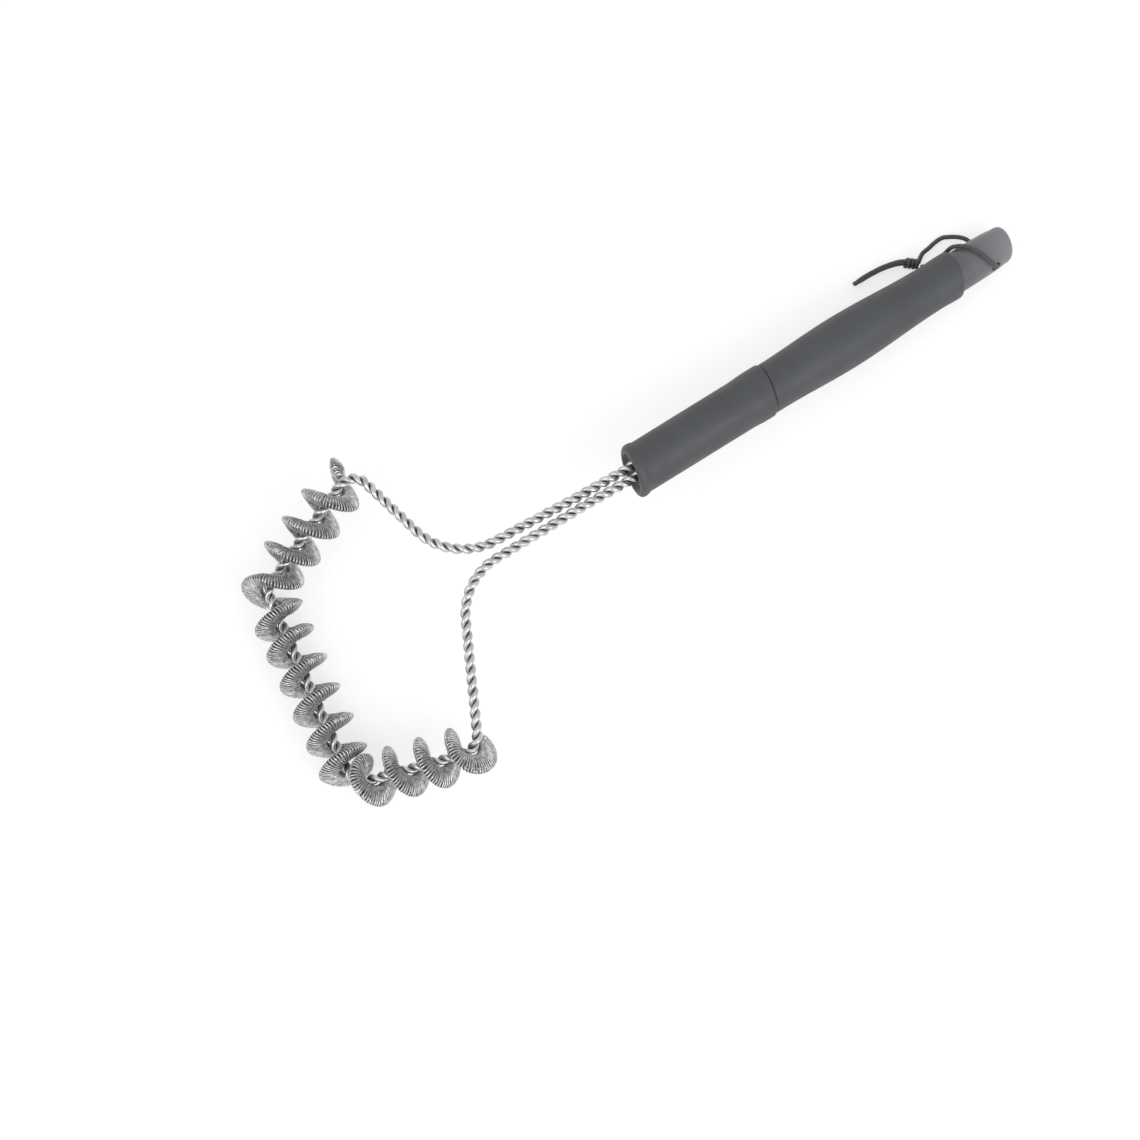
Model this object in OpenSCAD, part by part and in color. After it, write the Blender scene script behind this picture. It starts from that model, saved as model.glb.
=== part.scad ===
// Bristle-free grill scrubbing brush: a twisted-wire loop head with one long coiled-spring
// scrubbing rope round three sides, a two-run wire shaft and a two-ring plastic handle.
// Lengths in millimetres. X runs from the head (-) to the handle end (+), Z is up.

/* [Head loop] */
// Half width of the loop across its two shoulders
shoulder_half = 70.4; // [62:0.2:80]
// Distance from the neck forward to the shoulders
shoulder_reach = 26; // [20:0.2:34]
// Half width of the loop across its two front corners
front_half = 49.6; // [44:0.2:58]
// Distance from the neck forward to the front run
front_reach = 88.4; // [78:0.2:100]
// Sideways lean of the hand-bent loop, as a slope
head_lean = 0.164; // [0:0.002:0.2]
// Angle by which the head is bent down at the neck
head_bend = 24.1; // [5:0.1:35]
// Sideways set of the loop against the handle's own line
head_set = 1.9; // [-3:0.1:5]
// Bend radius where the two runs part at the neck
neck_r = 30; // [22:1:36]
// Bend radius at the four corners of the loop
corner_r = 9; // [8:0.5:12]

/* [Twisted wire] */
// Diameter of one wire strand
strand_d = 2.35; // [1.8:0.05:2.4]
// Length of wire in which the two strands turn once
twist_pitch = 10.2; // [8:0.1:14]
// Bare shaft length from the neck to the handle front
shaft_len = 94.3; // [80:0.1:140]
// Sideways set of the neck against the handle's own line
neck_set = 3.6; // [-2:0.1:6]
// Length in front of the handle over which the two runs lie side by side
pair_len = 28; // [16:1:40]
// Spacing of the two runs where they lie side by side
run_gap_back = 5.3; // [5.1:0.1:6.4]
// Spacing of the two runs at the neck
run_gap_neck = 8.4; // [6.6:0.1:9]
// Length of the wire ends held inside the handle
tail_in = 48; // [40:1:54]

/* [Scrubbing coil] */
// Outside diameter swept by the coiled rope
coil_d = 26.6; // [24:0.2:29]
// Thickness of the coiled rope along the wire
rope_t = 6.2; // [4:0.1:7.8]
// How much fuller the rope is toward the wires than away from them, as a share
rope_fuller = 0.35; // [0:0.05:0.45]
// Distance from the upper shoulder to the rope's first outer tip
upper_start = 6.2; // [4:0.2:9]
// Pitch of the rope along the upper flank
upper_pitch = 15.7; // [14.8:0.1:16]
// Distance from the last inner tip of the upper flank to the upper front corner
corner_lead = 10.4; // [9.4:0.2:11]
// Distance from the upper front corner to the first inner tip of the front run
front_start = 13; // [12:0.2:14]
// Distance between the first two inner tips of the front run
front_step = 12.3; // [11.8:0.1:14]
// Pitch of the rope along the front run
front_pitch = 15.2; // [14.6:0.1:15.6]
// Distance from the lower front corner to the first inner tip of the lower flank
lower_start = 20.4; // [19:0.2:22]
// Pitch of the rope along the lower flank
lower_pitch = 15.5; // [14.6:0.1:16]
// Turns of the rope past the first inner tip of the lower flank
lower_turns = 2.8; // [2:0.1:2.8]
// Lean of the rope's turns along the upper flank
upper_lean = 2; // [0:0.5:10]
// Lean of the rope's turns along the front run
front_lean = 9; // [0:0.5:12]
// Lean of the rope's turns along the lower flank
lower_lean = 6; // [0:0.5:12]

/* [Handle] */
// Length of the handle from its front face to its rounded end
handle_len = 222.4; // [205:0.1:250]
// Diameter of the front sleeve behind its lip
front_d = 24.3; // [23.4:0.1:27]
// Greatest diameter of the grip sleeve
grip_d = 26.5; // [25.6:0.1:29]
// Diameter of the end cap at its wide end
cap_d = 19.6; // [19.2:0.1:21]
// Distance from the front face to the first ring line
ring1_x = 77.5; // [70:0.5:95]
// Distance from the second ring line to the handle end
cap_len = 33.1; // [30:0.1:40]
// Slant of the two ring lines, the front face and the rounded end
ring_slant = 10; // [0:1:12]
// Width of the ring lines
ring_w = 0.5; // [0.4:0.1:0.8]
// Diameter of the rounded lip at the front face
lip_d = 25.4; // [25:0.1:26.4]
// Length of the rounded lip
lip_len = 5.6; // [4.6:0.2:8]
// Diameter of the dished front face inside the lip
dish_d = 19; // [16:0.5:20]
// Depth of the dished front face
dish_depth = 2.4; // [1:0.1:3]
// Diameter of the moulded core
core_d = 17; // [16:0.2:18]
// Height of the wire opening in the front face
mouth_h = 6.6; // [6:0.1:8]

/* [Wire ferrule] */
// Wall of the pressed steel ferrule
ferrule_wall = 0.9; // [0.7:0.1:1.1]
// Length of the ferrule
ferrule_len = 34; // [30:0.5:36]
// Diameter of the cross pin
pin_d = 3; // [2.4:0.1:3.4]

/* [Hanging cord] */
// Diameter of the cord
cord_d = 2.2; // [1.6:0.1:2.6]
// Diameter of the cord hole across the end cap
cord_hole_d = 4.6; // [4.2:0.1:5.4]
// Distance from the handle end to the cord hole
cord_hole_back = 14; // [13:0.1:16]
// Turn of the cord hole about the handle's own line
cord_hole_turn = 20; // [0:1:30]

/* [Hidden] */
$fn = 72;
clear = 0.3;

// ---- wire path -----------------------------------------------------------
function unit(v) = v / norm(v);
function head_pt(x, y) = let (u = x + head_lean * y)
    [u * cos(head_bend), y + head_set, u * sin(head_bend)];
head_up = [-sin(head_bend), 0, cos(head_bend)];
bp = head_pt(-shoulder_reach, shoulder_half);
ap = head_pt(-front_reach, front_half);
am = head_pt(-front_reach, -front_half);
bm = head_pt(-shoulder_reach, -shoulder_half);
pair_set = neck_set * pair_len / shaft_len;
function run_verts(side) = [
    [shaft_len + tail_in, side * run_gap_back / 2, 0],
    [shaft_len, side * run_gap_back / 2, 0],
    [shaft_len - pair_len, pair_set + side * run_gap_back / 2, 0],
    [0, neck_set + side * run_gap_neck / 2, 0]
];
last_run = run_verts(-1);
verts = concat(run_verts(1), [bp, ap, am, bm], [for (i = [3:-1:0]) last_run[i]]);
shaft_r = 60;
rads = [0, shaft_r, shaft_r, neck_r, corner_r, corner_r, corner_r, corner_r,
    neck_r, shaft_r, shaft_r, 0];
bend_count = len(verts) - 2;
upper_shoulder = 3;
upper_corner = 4;
lower_corner = 5;

// A bend is [start, end, centre, first axis, second axis, radius, sweep].
function bend(a, b, c, r) =
    let (
        u = unit(a - b), w = unit(c - b), g = acos(u * w), d = r / tan(g / 2),
        o = b + unit(u + w) * r / sin(g / 2), p = b + u * d, q = b + w * d,
        e1 = unit(p - o), e2 = unit(cross(cross(e1, q - o), e1))
    ) [p, q, o, e1, e2, r, 180 - g];
bends = [for (i = [1:bend_count]) bend(verts[i - 1], verts[i], verts[i + 1], rads[i])];
// A stretch is [length, kind, data]; straight stretches and bends take turns.
stretches = [for (i = [0:2 * bend_count])
    i % 2 == 0
        ? let (
            a = i == 0 ? verts[0] : bends[i / 2 - 1][1],
            b = i == 2 * bend_count ? verts[bend_count + 1] : bends[i / 2][0]
        ) [norm(b - a), 0, a, unit(b - a)]
        : let (k = bends[(i - 1) / 2]) [k[5] * k[6] * PI / 180, 1, k]
];
function total(n, i = 0) = i >= n ? 0 : stretches[i][0] + total(n, i + 1);
wire_len = total(2 * bend_count + 1);
function locate(s, i = 0) =
    (i >= 2 * bend_count || s <= stretches[i][0]) ? [i, s] : locate(s - stretches[i][0], i + 1);
// Point and direction of the wire at distance s from its first end.
function wire(s) =
    let (l = locate(s), t = stretches[l[0]])
    t[1] == 0
        ? [t[2] + t[3] * l[1], t[3]]
        : let (k = t[2], g = l[1] / k[5] * 180 / PI) [
            k[2] + k[5] * (k[3] * cos(g) + k[4] * sin(g)),
            k[4] * cos(g) - k[3] * sin(g)
        ];
// Distances along the wire: to a point past a corner, before it, and half way round it.
function past(corner, d) =
    let (k = bends[corner], lead = norm(k[0] - verts[corner + 1]))
    total(2 * corner + 2) + d - lead;
function before(corner, d) =
    let (k = bends[corner], lead = norm(k[0] - verts[corner + 1]))
    total(2 * corner + 1) - d + lead;
function middle(corner) = total(2 * corner + 1) + stretches[2 * corner + 1][0] / 2;

// ---- swept tubes ---------------------------------------------------------
function tube_faces(rings, n) = concat(
    [for (i = [0:rings - 2], j = [0:n - 1])
        [i * n + j, (i + 1) * n + j, (i + 1) * n + (j + 1) % n]],
    [for (i = [0:rings - 2], j = [0:n - 1])
        [i * n + j, (i + 1) * n + (j + 1) % n, i * n + (j + 1) % n]],
    [[for (j = [0:n - 1]) j]],
    [[for (j = [n - 1:-1:0]) (rings - 1) * n + j]]
);
module swept(pts, n) {
    polyhedron(points = pts, faces = tube_faces(len(pts) / n, n), convexity = 10);
}

// ---- twisted strands -----------------------------------------------------
strand_r = strand_d / 2;
lay_r = strand_r + clear / 2;
stem_r = lay_r + strand_r;
strand_rings = ceil(wire_len / twist_pitch * 8);
function strand_pts(turn) = [for (i = [0:strand_rings])
    let (
        s = wire_len * i / strand_rings, w = wire(s), t = w[1],
        n1 = unit(cross(head_up, t)), n2 = cross(t, n1), a = s / twist_pitch * 360 + turn,
        r = n1 * cos(a) + n2 * sin(a), q = n2 * cos(a) - n1 * sin(a),
        dir = unit(t + q * lay_r * 2 * PI / twist_pitch), e = cross(dir, r), o = w[0] + r * lay_r
    )
    for (j = [0:5]) o + strand_r * (r * cos(j * 60) + e * sin(j * 60))
];

// ---- scrubbing rope ------------------------------------------------------
rope_in = stem_r + clear;
rope_mid = (coil_d / 2 + rope_in) / 2;
rope_half = (coil_d / 2 - rope_in) / 2;
rope_sides = 12;
function rope_axis(s, turns) =
    let (
        w = wire(s), n1 = unit(cross(head_up, w[1])), n2 = cross(w[1], n1), a = turns * 360,
        r = n1 * cos(a) + n2 * sin(a)
    ) [w[0] + r * rope_mid, r, w, n2];
// The turns of the rope lean along the wire, more the higher above it.
lean_table = [[-0.5, -upper_lean], [3, -upper_lean], [4.5, front_lean], [9, front_lean],
    [10.5, lower_lean], [14, lower_lean]];
function leant(p, ax, turns) =
    p - ax[2][1] * tan(lookup(turns, lean_table)) * ((p - ax[2][0]) * ax[3]);
// The rope follows a table of [distance along the wire, turns]; whole turns are inner tips.
function rope_pts(table) =
    let (
        last = len(table) - 1, s0 = table[0][0], s1 = table[last][0],
        rings = ceil((table[last][1] - table[0][1]) * 22),
        ax = [for (i = [-1:rings + 1]) let (s = s0 + (s1 - s0) * i / rings)
            rope_axis(s, i < 0 ? lookup(s0, table) + (s - s0) / upper_pitch
                : i > rings ? lookup(s1, table) + (s - s1) / upper_pitch : lookup(s, table))]
    ) [for (i = [1:rings + 1])
        let (
            dir = unit(ax[i + 1][0] - ax[i - 1][0]), r = ax[i][1], e = unit(cross(dir, r)),
            turns = lookup(s0 + (s1 - s0) * (i - 1) / rings, table)
        )
        for (j = [0:rope_sides - 1])
            let (g = j * 360 / rope_sides)
            leant(ax[i][0] + r * rope_half * cos(g)
                + e * rope_t / 2 * sin(g) * (1 - rope_fuller * cos(g)), ax[i], turns)
    ];
rope_table = [
    [past(upper_shoulder, upper_start), -0.5],
    [past(upper_shoulder, upper_start + 2.5 * upper_pitch), 2],
    [before(upper_corner, corner_lead), 3],
    [past(upper_corner, front_start), 4],
    [past(upper_corner, front_start + front_step), 5],
    [past(upper_corner, front_start + front_step + 4 * front_pitch), 9],
    [middle(lower_corner), 10],
    [past(lower_corner, lower_start), 11],
    [past(lower_corner, lower_start + lower_turns * lower_pitch), 11 + lower_turns]
];
coil_pts = rope_pts(rope_table);
strand_a_pts = strand_pts(0);
strand_b_pts = strand_pts(180);

// ---- handle profile ------------------------------------------------------
ring2_x = handle_len - cap_len;
flare = 0.35;
function ease(u) = (1 - cos(u * 180)) / 2;
front_r = front_d / 2;
grip_r = grip_d / 2;
cap_r = cap_d / 2;
rim1_r = front_r + flare + 0.15;
neck1_r = front_r - 0.2;
rim2_r = front_r - 0.55;
waist_r = front_r - 0.85;
lip_r = lip_d / 2;
edge_r = 2.2;
tip_r = 6.5;
front_profile = concat(
    [[-1, front_r - 0.1], [ring1_x - 16, front_r + 0.05]],
    [for (k = [1:5]) [ring1_x - 16 + k * 2, front_r + 0.05 + (rim1_r - front_r - 0.05) * ease(k / 5)]],
    [[ring1_x + 8, rim1_r]]
);
// The lip, along its own slanted axis from the front face.
lip_profile = concat(
    [for (k = [0:5]) [edge_r * (1 - cos(k * 18)), lip_r - edge_r * (1 - sin(k * 18))]],
    [[lip_len - 2.4, lip_r], [lip_len - 1.2, lip_r - 0.25], [lip_len, front_r - 0.4],
     [lip_len + 0.5, front_r - 1]]
);
swell_x = ring1_x + (ring2_x - ring1_x) * 0.4;
waist_x = ring2_x - 13;
grip_profile = concat(
    [[ring1_x - 8, neck1_r], [ring1_x + 2, neck1_r]],
    [for (k = [1:8]) [ring1_x + 2 + (swell_x - ring1_x - 2) * k / 8,
        neck1_r + (grip_r - neck1_r) * ease(k / 8)]],
    [for (k = [1:8]) [swell_x + (waist_x - swell_x) * k / 8,
        grip_r + (waist_r - grip_r) * ease(k / 8)]],
    [for (k = [1:4]) [waist_x + k * 2.2, waist_r + (rim2_r - waist_r) * ease(k / 4)]],
    [[ring2_x + 8, rim2_r]]
);
end_r = cap_r - 0.85;
cap_profile = [
    [ring2_x - 8, cap_r], [ring2_x + 5, cap_r], [handle_len - 18, cap_r - 0.1],
    [handle_len - 12, cap_r - 0.3], [handle_len - 9, cap_r - 0.5], [handle_len - tip_r, end_r],
    [handle_len + 3, end_r - 0.9]
];
// The rounded end, along its own slanted axis back from the tip.
tip_profile = concat(
    [[-60, cap_r + 4], [-tip_r - 4, cap_r + 4], [-tip_r, end_r + 0.1]],
    [for (k = [1:7]) [-tip_r + tip_r * sin(k * 90 / 7), (end_r + 0.1) * (1 - pow(k / 7, 3.2))]]
);
// Sideways sets that bring the slanted lip and end back on to the handle's own line.
lip_set = lip_len / 2 * sin(ring_slant);
tip_set = tip_r / 2 * sin(ring_slant);

// ---- resting place -------------------------------------------------------
// The brush lies on both front corners of its rope and on the end cap near its rounded end.
rest_pt = [shaft_len + handle_len - 9, 0, 0];
e1 = am - ap;
e2 = rest_pt - ap;
need = cap_r - 0.5 - coil_d / 2;
det = e1[0] * e2[1] - e1[1] * e2[0];
fa = (-e1[2] * e2[1] - e1[1] * (need - e2[2])) / det;
fb = (e1[0] * (need - e2[2]) + e1[2] * e2[0]) / det;
floor_n = unit([fa, fb, 1]);
tilt = -asin(floor_n[0]);
roll = atan2(floor_n[1], floor_n[2]);
floor_d = min(
    min([for (p = coil_pts) floor_n * p]),
    min([for (p = concat([[ring2_x - 2, rim2_r]], cap_profile)) if (p[0] <= handle_len - tip_r)
        floor_n * [shaft_len + p[0], 0, 0] - p[1] * cos(tilt)])
);
function turned(p) =
    let (y = p[1] * cos(roll) - p[2] * sin(roll), z = p[1] * sin(roll) + p[2] * cos(roll))
    [p[0] * cos(tilt) + z * sin(tilt), y, z * cos(tilt) - p[0] * sin(tilt)];
far = [for (p = concat(coil_pts, strand_a_pts, strand_b_pts)) turned(p)];
tip_x = [for (p = tip_profile) if (p[0] > -tip_r - 1)
    p[0] * cos(ring_slant) + (p[1] - tip_set) * sin(ring_slant)];
end_x = (shaft_len + handle_len + max(tip_x)) * cos(tilt);
mid_x = (min([for (p = far) p[0]]) + end_x) / 2;
mid_y = (min([for (p = far) p[1]]) + max([for (p = far) p[1]])) / 2;
module placed() {
    translate([-mid_x, -mid_y, -floor_d]) rotate([roll, tilt, 0]) children();
}
// Height of the table under a point of the brush, in the brush's own directions.
function table_z(x, y) = (floor_d - floor_n[0] * x - floor_n[1] * y) / floor_n[2];

// ---- handle bodies -------------------------------------------------------
module handle_at(x) {
    translate([shaft_len + x, 0, 0]) children();
}
// A body turned about the X axis from a list of [x, radius].
module turned_on_x(profile) {
    a = profile[0];
    b = profile[len(profile) - 1];
    rotate([0, 90, 0]) rotate([0, 0, 90]) rotate_extrude()
        polygon(concat([[0, a[0]]], [for (p = profile) [p[1], p[0]]], b[1] > 0.01 ? [[0, b[0]]] : []));
}
module turned_body(profile) {
    handle_at(0) turned_on_x(profile);
}
module oblong(x0, x1, w, h) {
    handle_at(x0) rotate([0, 90, 0]) linear_extrude(height = x1 - x0) {
        translate([0, (w - h) / 2]) circle(d = h);
        translate([0, (h - w) / 2]) circle(d = h);
        square([h, w - h], center = true);
    }
}
// What lies across the handle is slanted as its ring lines are.
module slanted(x) {
    handle_at(x) rotate([0, 0, -ring_slant]) children();
}
// Everything on the handle side (side = 1) or on the front side (-1) of a ring line.
module side_of(x, side) {
    slanted(x)
        translate([side > 0 ? ring_w / 2 : -300 - ring_w / 2, -50, -50]) cube([300, 100, 100]);
}
module bore(x0, x1, d) {
    handle_at(x0) rotate([0, 90, 0]) cylinder(d = d, h = x1 - x0);
}
stem_w = run_gap_back + 2 * stem_r;
ferrule_w = stem_w + 2 * clear + 2 * ferrule_wall;
ferrule_h = 2 * stem_r + 2 * clear + 2 * ferrule_wall;
ferrule_x = tail_in + 12 - ferrule_len;
pin_x = tail_in + 6.5;
mouth_w = stem_w + 1.8;
spigot_d = 14;
spigot_end = ring2_x + 9;
wall_x = 3.2 + dish_depth;
sleeve_bore = core_d + 2 * clear;
cap_bore = spigot_d + 2 * clear;

module stem_wire_a() color("silver") placed() swept(strand_a_pts, 6);
module stem_wire_b() color("gainsboro") placed() swept(strand_b_pts, 6);
module scrub_coil() color("darkgray") placed() swept(coil_pts, rope_sides);

module wire_ferrule() color("lightsteelblue") placed() difference() {
    oblong(ferrule_x, tail_in + 12, ferrule_w, ferrule_h);
    oblong(ferrule_x - 1, tail_in + 13, stem_w + 2 * clear, 2 * stem_r + 2 * clear);
    handle_at(pin_x) cylinder(d = pin_d + 2 * clear, h = 60, center = true);
}

module cross_pin() color("slategray") placed()
    handle_at(pin_x) cylinder(d = pin_d, h = core_d - 1, center = true);

module handle_core() color("dimgray") placed() difference() {
    union() {
        bore(wall_x + clear, ring2_x - 3, core_d);
        bore(ring2_x - 4, spigot_end, spigot_d);
    }
    oblong(wall_x - 1, tail_in + 12 + clear, ferrule_w + 2 * clear, ferrule_h + 2 * clear);
    handle_at(pin_x) cylinder(d = pin_d + 2 * clear, h = 60, center = true);
}

module front_sleeve() color("darkslategray") placed() difference() {
    union() {
        slanted(0) translate([0, lip_set, 0]) turned_on_x(lip_profile);
        intersection() {
            turned_body(front_profile);
            side_of(edge_r, 1);
            side_of(ring1_x, -1);
        }
    }
    slanted(-0.01) rotate([0, 90, 0])
        cylinder(h = dish_depth, r1 = dish_d / 2, r2 = dish_d / 2 - 1.6);
    bore(wall_x, ring1_x + 20, sleeve_bore);
    oblong(-4, wall_x + 1, mouth_w, mouth_h);
}

module grip_sleeve() color("slategray") placed() difference() {
    intersection() {
        turned_body(grip_profile);
        side_of(ring1_x, 1);
        side_of(ring2_x, -1);
    }
    bore(ring1_x - 20, ring2_x + 20, sleeve_bore);
}

module end_cap() color("gray") placed() difference() {
    intersection() {
        turned_body(cap_profile);
        side_of(ring2_x, 1);
        slanted(handle_len) translate([0, -tip_set, 0]) turned_on_x(tip_profile);
    }
    bore(ring2_x - 20, spigot_end + clear, cap_bore);
    handle_at(handle_len - cord_hole_back) rotate([90 - cord_hole_turn, 0, 0])
        cylinder(d = cord_hole_d, h = 60, center = true);
}

// ---- hanging cord --------------------------------------------------------
cord_r = cord_d / 2;
hole_x = shaft_len + handle_len - cord_hole_back;
over_r = cap_r + cord_r + 0.3;
// A point beside the hole, lifted off the cap's surface, g round from the +Y side over the top.
function around(dx, rise, g) = [hole_x + dx, (over_r + rise) * cos(g), (over_r + rise) * sin(g)];
rim_x = shaft_len + ring2_x + rim2_r * tan(ring_slant);
function beside(dx, rise, g) =
    let (r = rim2_r + cord_r + 0.3 + rise) [rim_x + dx, r * cos(g), r * sin(g)];
// A point on the cord's way out of the hole's -Y end, a round from the hole's line.
exit_u = [0, -cos(cord_hole_turn), sin(cord_hole_turn)];
exit_w = [-0.5, 0.87 * sin(cord_hole_turn), 0.87 * cos(cord_hole_turn)];
exit_r = 5.6;
function way_out(a) = [hole_x, 0, 0] + exit_u * (cap_r - 4.05 + exit_r * sin(a))
    + exit_w * (exit_r * (1 - cos(a)) - 1);
knot_d = 2.5 * cord_d;
knot_at = [shaft_len + ring2_x - 10, rim2_r + 5.8];
knot_z = table_z(knot_at[0], knot_at[1]) + knot_d / 2 + 0.1;
knot_pt = [knot_at[0], knot_at[1], knot_z];
knot_dir = unit([-6, 5, 0]);
knot_len = 8;
// A point above the table, in the brush's own directions.
function on_table(x, y, h) = [x, y, table_z(x, y) + h];
loop_route = [
    knot_pt - knot_dir * (knot_len / 2 + 0.3) + [0, cord_r + 0.15, 0],
    on_table(hole_x - 21.2, rim2_r + 7.1, 1.5),
    on_table(hole_x - 16.8, rim2_r + 7.8, 1.3),
    on_table(hole_x - 12.4, rim2_r + 8.5, 1.5),
    on_table(hole_x - 8.5, rim2_r + 8.35, 1.9),
    around(-5.5, 8.4, -21.2),
    around(-3, 6.3, -21),
    around(-1.1, 3.7, -20.6),
    around(-0.2, 1, -cord_hole_turn),
    around(0, -2.2, -cord_hole_turn),
    around(0, -6, -cord_hole_turn),
    [hole_x, 0, 0] - exit_w * 0.45,
    [hole_x, 0, 0] + exit_u * (cap_r - 6.9) - exit_w * 0.9,
    way_out(0),
    way_out(30),
    way_out(60),
    way_out(90),
    way_out(118),
    around(-5, 0.7, 114),
    around(-6.1, 0.1, 100),
    around(-7.1, 0, 86),
    around(-8.1, 0, 72),
    around(-9.3, 0, 58),
    around(-10.6, 0, 45),
    around(-11.6, 0, 32),
    around(-12.3, 0.1, 18),
    around(-13, 0.2, 4),
    around(-14.1, 0.5, -10),
    around(-15.6, 1.1, -22),
    beside(-0.3, 0, -31),
    beside(-2.8, 0.7, -36.5),
    beside(-5.6, 1.6, -37.5),
    knot_pt - knot_dir * (knot_len / 2 + 0.3) - [0, cord_r + 0.15, 0]
];
tail_low = cord_r + 0.1;
tail_high = 3 * cord_r + 0.3;
function tail_route(side, h, last) = [
    knot_pt + knot_dir * (knot_len / 2 + 0.3) + [0, 0, side * (cord_r + 0.15)],
    on_table(knot_at[0] - 7.6, knot_at[1] + 4.7, h + 0.1),
    on_table(knot_at[0] - 13.4, knot_at[1] + 6, h),
    on_table(knot_at[0] - 19.4, knot_at[1] + 6.6, h),
    on_table(knot_at[0] - 24.6, knot_at[1] + 6.8, h),
    on_table(knot_at[0] + last[0], knot_at[1] + last[1], h)
];
tail_a_route = tail_route(1, tail_high, [-29.2, 6.4]);
tail_b_route = tail_route(-1, tail_low, [-28.6, 7.2]);
function pick(r, i) = i < 0 ? 2 * r[0] - r[1]
    : i >= len(r) ? 2 * r[len(r) - 1] - r[len(r) - 2] : r[i];
function soft(r, i, u) =
    let (a = pick(r, i - 1), b = pick(r, i), c = pick(r, i + 1), d = pick(r, i + 2))
    b + (c - a) * u / 2 + (2 * a - 5 * b + 4 * c - d) * u * u / 2
        + (3 * b - a - 3 * c + d) * u * u * u / 2;
function soft_line(r, m) = concat(
    [for (i = [0:len(r) - 2], k = [0:m - 1]) soft(r, i, k / m)], [r[len(r) - 1]]);
function cord_pts(r, m, n) =
    let (
        line = soft_line(r, m), last = len(line) - 1,
        dirs = [for (i = [0:last]) unit(line[min(i + 1, last)] - line[max(i - 1, 0)])],
        side = [for (i = 0, v = unit(cross(dirs[0], [0, 0.3, 1])); i <= last;
            i = i + 1, v = i <= last ? unit(v - dirs[i] * (v * dirs[i])) : v) v]
    ) [for (i = [0:last], j = [0:n - 1])
        line[i] + cord_r * (side[i] * cos(j * 360 / n) + cross(dirs[i], side[i]) * sin(j * 360 / n))
    ];

module hang_cord() color("sienna") placed() swept(cord_pts(loop_route, 2, 8), 8);
module cord_tails() color("peru") placed() {
    swept(cord_pts(tail_a_route, 2, 8), 8);
    swept(cord_pts(tail_b_route, 2, 8), 8);
}
module cord_knot() color("saddlebrown") placed() translate(knot_pt)
    rotate([0, 90, atan2(knot_dir[1], knot_dir[0])]) rotate_extrude() polygon(concat(
        [[0, -knot_len / 2]],
        [for (w = [-1:1], k = [0:6])
            [knot_d / 2 - knot_len / 6 * (1 - sin(k * 30)) * 0.6,
             w * knot_len / 3 - knot_len / 6 * cos(k * 30)]],
        [[0, knot_len / 2]]
    ));

stem_wire_a();
stem_wire_b();
scrub_coil();
wire_ferrule();
cross_pin();
handle_core();
front_sleeve();
grip_sleeve();
end_cap();
hang_cord();
cord_knot();
cord_tails();
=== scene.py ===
# Bristle-free grill brush: the looks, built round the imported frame. Metres, the row's own frame.
import bpy
import math
import numpy as np
from mathutils import Matrix, Vector

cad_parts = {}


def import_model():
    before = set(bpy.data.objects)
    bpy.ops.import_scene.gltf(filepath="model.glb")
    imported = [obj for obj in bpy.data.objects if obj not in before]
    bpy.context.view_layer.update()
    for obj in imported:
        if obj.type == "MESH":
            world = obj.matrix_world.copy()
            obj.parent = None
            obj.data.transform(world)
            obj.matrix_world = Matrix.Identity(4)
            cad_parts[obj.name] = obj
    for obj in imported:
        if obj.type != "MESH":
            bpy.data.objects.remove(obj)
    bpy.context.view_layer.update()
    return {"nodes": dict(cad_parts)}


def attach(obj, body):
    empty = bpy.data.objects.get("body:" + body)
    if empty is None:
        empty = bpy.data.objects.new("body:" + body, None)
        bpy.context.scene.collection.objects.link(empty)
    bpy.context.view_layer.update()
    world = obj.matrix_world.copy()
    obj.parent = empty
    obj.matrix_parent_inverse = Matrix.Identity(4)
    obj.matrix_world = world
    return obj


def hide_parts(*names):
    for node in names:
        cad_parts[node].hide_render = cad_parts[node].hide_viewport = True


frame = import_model()
NODES = frame["nodes"]


def V(*a):
    return np.array(a, float)


def unit(v):
    return v / np.linalg.norm(v)


def cosd(g):
    return math.cos(math.radians(g))


def sind(g):
    return math.sin(math.radians(g))


# ---------------------------------------------------------------- camera
CAM_AT = (-0.18042, -0.15562, 1.02805)
up, back = Vector((0.53788, 0.82498, 0.17346)), Vector((-0.11775, -0.13023, 0.98447))
right = up.cross(back).normalized()
up = back.cross(right).normalized()
cam_data = bpy.data.cameras.new("camera")
cam_data.sensor_width = 36
cam_data.lens = 69.44
cam_data.clip_start = 0.05
cam_data.clip_end = 20
cam = bpy.data.objects.new("camera", cam_data)
bpy.context.scene.collection.objects.link(cam)
turn = Matrix((right, up, back.normalized())).transposed().to_4x4()
cam.matrix_world = Matrix.Translation(CAM_AT) @ turn
bpy.context.scene.camera = cam

# ---------------------------------------------------------------- the sizes of the source, mm
# head loop: half widths and reaches, sideways lean, bend at the neck, sideways sets
SHOULDER_HALF, SHOULDER_REACH, FRONT_HALF, FRONT_REACH = 70.4, 26.0, 49.6, 88.4
LEAN, BEND, NECK_SET, HEAD_SET = 0.164, 24.1, 3.6, 1.9
NECK_R, CORNER_R, SHAFT_R = 30.0, 9.0, 60.0
# twisted wire: strand, pitch, bare shaft, spacing of the runs, ends held, paired length
STRAND_D, TWIST, SHAFT, TAIL_IN, PAIR_LEN = 2.35, 10.2, 94.3, 48.0, 28.0
GAP_BACK, GAP_NECK = 5.3, 8.4
# scrubbing coil: size and fullness of the rope, then its pace along the three sides
COIL_D, ROPE_T, FULLER = 26.6, 6.2, 0.35
UP_START, UP_PITCH, UP_LEAD = 6.2, 15.7, 10.4
FR_START, FR_STEP, FR_PITCH = 13.0, 12.3, 15.2
LO_START, LO_PITCH, LO_TURNS = 20.4, 15.5, 2.8
UP_LEAN, FR_LEAN, LO_LEAN = 2.0, 9.0, 6.0
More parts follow.
